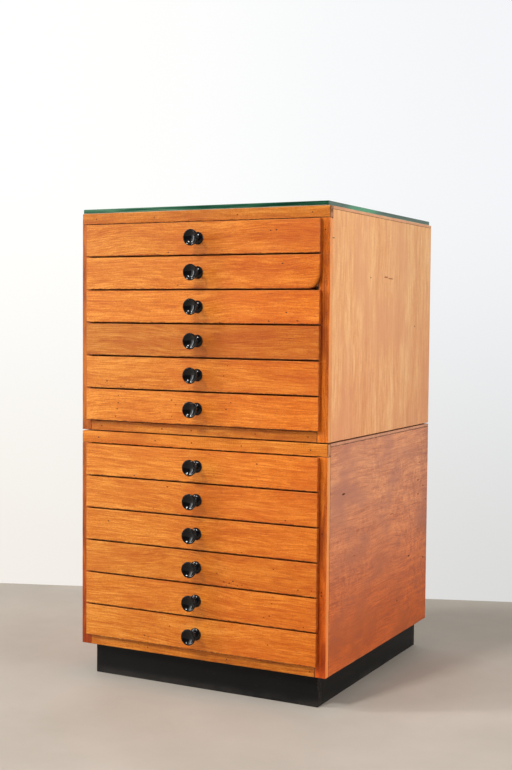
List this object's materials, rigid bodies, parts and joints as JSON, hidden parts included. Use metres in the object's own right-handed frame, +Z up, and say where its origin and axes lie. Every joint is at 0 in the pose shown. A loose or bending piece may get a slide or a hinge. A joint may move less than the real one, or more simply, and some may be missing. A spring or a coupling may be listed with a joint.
{
  "type": "flat file cabinet",
  "caption": "Stacked wooden flat file cabinet with shallow drawers, round black knobs, a recessed black plinth and a loose glass top.",
  "frame": {"origin": "bottom centre of the whole object's box, knobs included, at floor level", "axes": "+Z up, +Y towards the back, so the drawers open towards -Y; +X to the right seen from the front"},
  "size_m": [0.5, 0.5354, 0.8665],
  "materials": {
    "front": "varnished honey-orange plywood, satin",
    "front_dark": "varnished brown-orange plywood, satin",
    "face_frame": "varnished red-brown softwood, satin",
    "side_upper": "varnished tan plywood, satin, faded",
    "side_lower": "varnished red-brown plywood, satin, blotchy",
    "interior": "bare pale plywood and softwood, matt",
    "back": "bare plywood, matt",
    "plinth_black": "black paint on wood, satin, scuffed",
    "knob_black": "polished black turned plastic",
    "top_glass": "clear float glass with green ground edges"
  },
  "bodies": {
    "cabinet": {"plinth_frame": "plinth_black", "lower_left_stile": "face_frame", "lower_right_stile": "face_frame", "lower_top_rail": "face_frame", "lower_bottom_rail": "face_frame", "lower_left_side_panel": "side_lower", "lower_right_side_panel": "side_lower", "lower_top_panel": "side_lower", "lower_back_panel": "back", "lower_left_runner_board": "interior", "lower_right_runner_board": "interior", "lower_bottom_panel": "interior", "upper_left_stile": "face_frame", "upper_right_stile": "face_frame", "upper_top_rail": "face_frame", "upper_bottom_rail": "face_frame", "upper_left_side_panel": "side_upper", "upper_right_side_panel": "side_upper", "upper_top_panel": "side_upper", "upper_back_panel": "back", "upper_left_runner_board": "interior", "upper_right_runner_board": "interior", "upper_bottom_panel": "interior", "glass_top": "top_glass"},
    "drawer_01": {"drawer_01_front": "front", "drawer_01_tray": "interior", "drawer_01_knob": "knob_black"},
    "drawer_02": {"drawer_02_front": "front", "drawer_02_tray": "interior", "drawer_02_knob": "knob_black"},
    "drawer_03": {"drawer_03_front": "front", "drawer_03_tray": "interior", "drawer_03_knob": "knob_black"},
    "drawer_04": {"drawer_04_front": "front_dark", "drawer_04_tray": "interior", "drawer_04_knob": "knob_black"},
    "drawer_05": {"drawer_05_front": "front", "drawer_05_tray": "interior", "drawer_05_knob": "knob_black"},
    "drawer_06": {"drawer_06_front": "front", "drawer_06_tray": "interior", "drawer_06_knob": "knob_black"},
    "drawer_07": {"drawer_07_front": "front", "drawer_07_tray": "interior", "drawer_07_knob": "knob_black"},
    "drawer_08": {"drawer_08_front": "front", "drawer_08_tray": "interior", "drawer_08_knob": "knob_black"},
    "drawer_09": {"drawer_09_front": "front", "drawer_09_tray": "interior", "drawer_09_knob": "knob_black"},
    "drawer_10": {"drawer_10_front": "front", "drawer_10_tray": "interior", "drawer_10_knob": "knob_black"},
    "drawer_11": {"drawer_11_front": "front", "drawer_11_tray": "interior", "drawer_11_knob": "knob_black"},
    "drawer_12": {"drawer_12_front": "front", "drawer_12_tray": "interior", "drawer_12_knob": "knob_black"}
  },
  "joints": [
    {"name": "drawer_01_slide", "type": "slide", "parent": "cabinet", "child": "drawer_01", "axis": [0, -1, 0], "range_m": [0, 0.36]},
    {"name": "drawer_02_slide", "type": "slide", "parent": "cabinet", "child": "drawer_02", "axis": [0, -1, 0], "range_m": [0, 0.36]},
    {"name": "drawer_03_slide", "type": "slide", "parent": "cabinet", "child": "drawer_03", "axis": [0, -1, 0], "range_m": [0, 0.36]},
    {"name": "drawer_04_slide", "type": "slide", "parent": "cabinet", "child": "drawer_04", "axis": [0, -1, 0], "range_m": [0, 0.36]},
    {"name": "drawer_05_slide", "type": "slide", "parent": "cabinet", "child": "drawer_05", "axis": [0, -1, 0], "range_m": [0, 0.36]},
    {"name": "drawer_06_slide", "type": "slide", "parent": "cabinet", "child": "drawer_06", "axis": [0, -1, 0], "range_m": [0, 0.36]},
    {"name": "drawer_07_slide", "type": "slide", "parent": "cabinet", "child": "drawer_07", "axis": [0, -1, 0], "range_m": [0, 0.36]},
    {"name": "drawer_08_slide", "type": "slide", "parent": "cabinet", "child": "drawer_08", "axis": [0, -1, 0], "range_m": [0, 0.36]},
    {"name": "drawer_09_slide", "type": "slide", "parent": "cabinet", "child": "drawer_09", "axis": [0, -1, 0], "range_m": [0, 0.36]},
    {"name": "drawer_10_slide", "type": "slide", "parent": "cabinet", "child": "drawer_10", "axis": [0, -1, 0], "range_m": [0, 0.36]},
    {"name": "drawer_11_slide", "type": "slide", "parent": "cabinet", "child": "drawer_11", "axis": [0, -1, 0], "range_m": [0, 0.36]},
    {"name": "drawer_12_slide", "type": "slide", "parent": "cabinet", "child": "drawer_12", "axis": [0, -1, 0], "range_m": [0, 0.36]}
  ]
}
